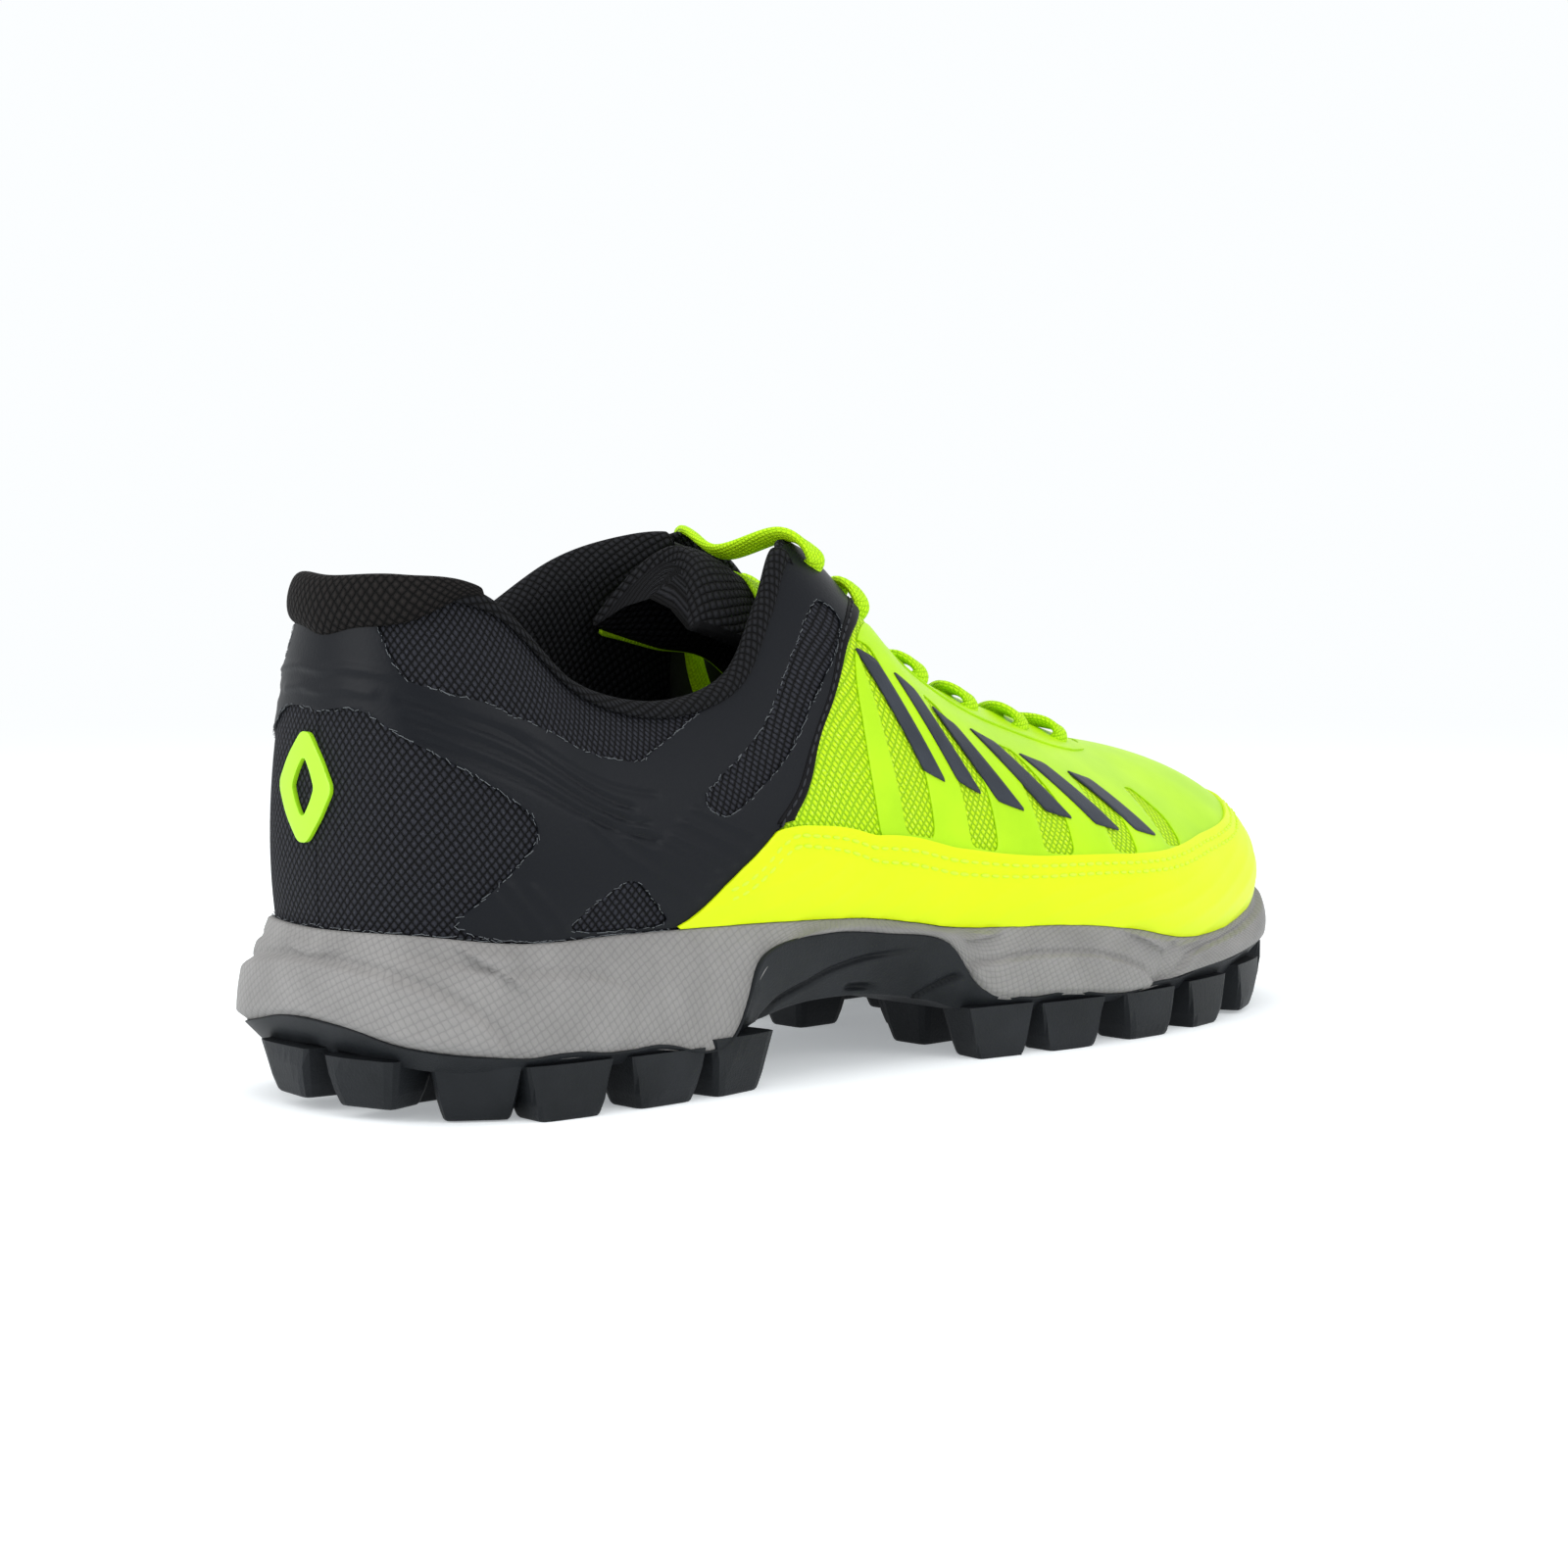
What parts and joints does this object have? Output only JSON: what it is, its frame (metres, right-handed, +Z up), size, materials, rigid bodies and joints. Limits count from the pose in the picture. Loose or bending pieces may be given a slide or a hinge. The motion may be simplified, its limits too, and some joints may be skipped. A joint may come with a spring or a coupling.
{
  "type": "running shoe",
  "caption": "Low-cut trail running shoe, laced, with a studded rubber outsole, grey foam midsole, two-tone mesh upper, welded films, toe rand and padded collar.",
  "frame": {"origin": "on the ground under the middle of the shoe's box", "axes": "+X from the heel to the toe, +Y to the inner side of the foot, +Z up"},
  "size_m": [0.2709, 0.102, 0.1119],
  "materials": {
    "outsole_rubber": "matte moulded rubber with a fine grain",
    "midsole_foam": "moulded EVA foam with a fine scale texture",
    "board": "needled non-woven board",
    "insole_foam": "knit-topped foam",
    "stiffener": "thermoplastic stiffener sheet",
    "black_mesh": "coarse woven mesh",
    "lime_mesh": "open woven mesh",
    "grey_lining": "brushed lining fabric",
    "padding": "open-cell foam",
    "black_spacer_mesh": "knitted spacer mesh",
    "black_film": "satin welded TPU film",
    "lime_film": "satin welded TPU film",
    "yellow_rand": "satin rubber-coated film",
    "black_binding": "folded edge with lockstitch",
    "grey_print": "printed rubber bars",
    "lime_emblem": "raised moulded badge",
    "lime_tongue_fabric": "tight woven fabric",
    "lime_lace": "flat braided polyester",
    "aglet_plastic": "clear-coated tip"
  },
  "bodies": {
    "shoe": {"outsole": "outsole_rubber", "midsole": "midsole_foam", "strobel_board": "board", "heel_counter": "stiffener", "toe_puff": "stiffener", "quarter_right": "black_mesh", "quarter_left": "black_mesh", "vamp": "lime_mesh", "vamp_lining": "grey_lining", "collar_foam": "padding", "collar_lining": "black_spacer_mesh", "heel_pad": "black_spacer_mesh", "film_right": "black_film", "film_left": "black_film", "vamp_bands_right": "lime_film", "vamp_bands_left": "lime_film", "toe_rand": "yellow_rand", "eyestay_right": "lime_film", "eyestay_left": "lime_film", "quarter_binding_right": "black_binding", "quarter_binding_left": "black_binding", "side_marks_right": "grey_print", "side_marks_left": "grey_print", "heel_emblem": "lime_emblem", "lace": "lime_lace", "aglets": "aglet_plastic"},
    "tongue": {"tongue_cover": "lime_tongue_fabric", "tongue_foam": "padding", "tongue_lining": "black_spacer_mesh"},
    "insole": {"insole": "insole_foam"}
  },
  "joints": [
    {"name": "tongue_hinge", "type": "hinge", "parent": "shoe", "child": "tongue", "pos_m": [0.0775, 0, 0.056], "axis": [0, 1, 0], "range_deg": [-10, 0], "stiffness_Nm_per_rad": 0.8, "springref_deg": 2.86},
    {"name": "insole_lift", "type": "hinge", "parent": "shoe", "child": "insole", "pos_m": [0.122, 0, 0.027], "axis": [0, 1, 0], "range_deg": [0, 4]}
  ]
}
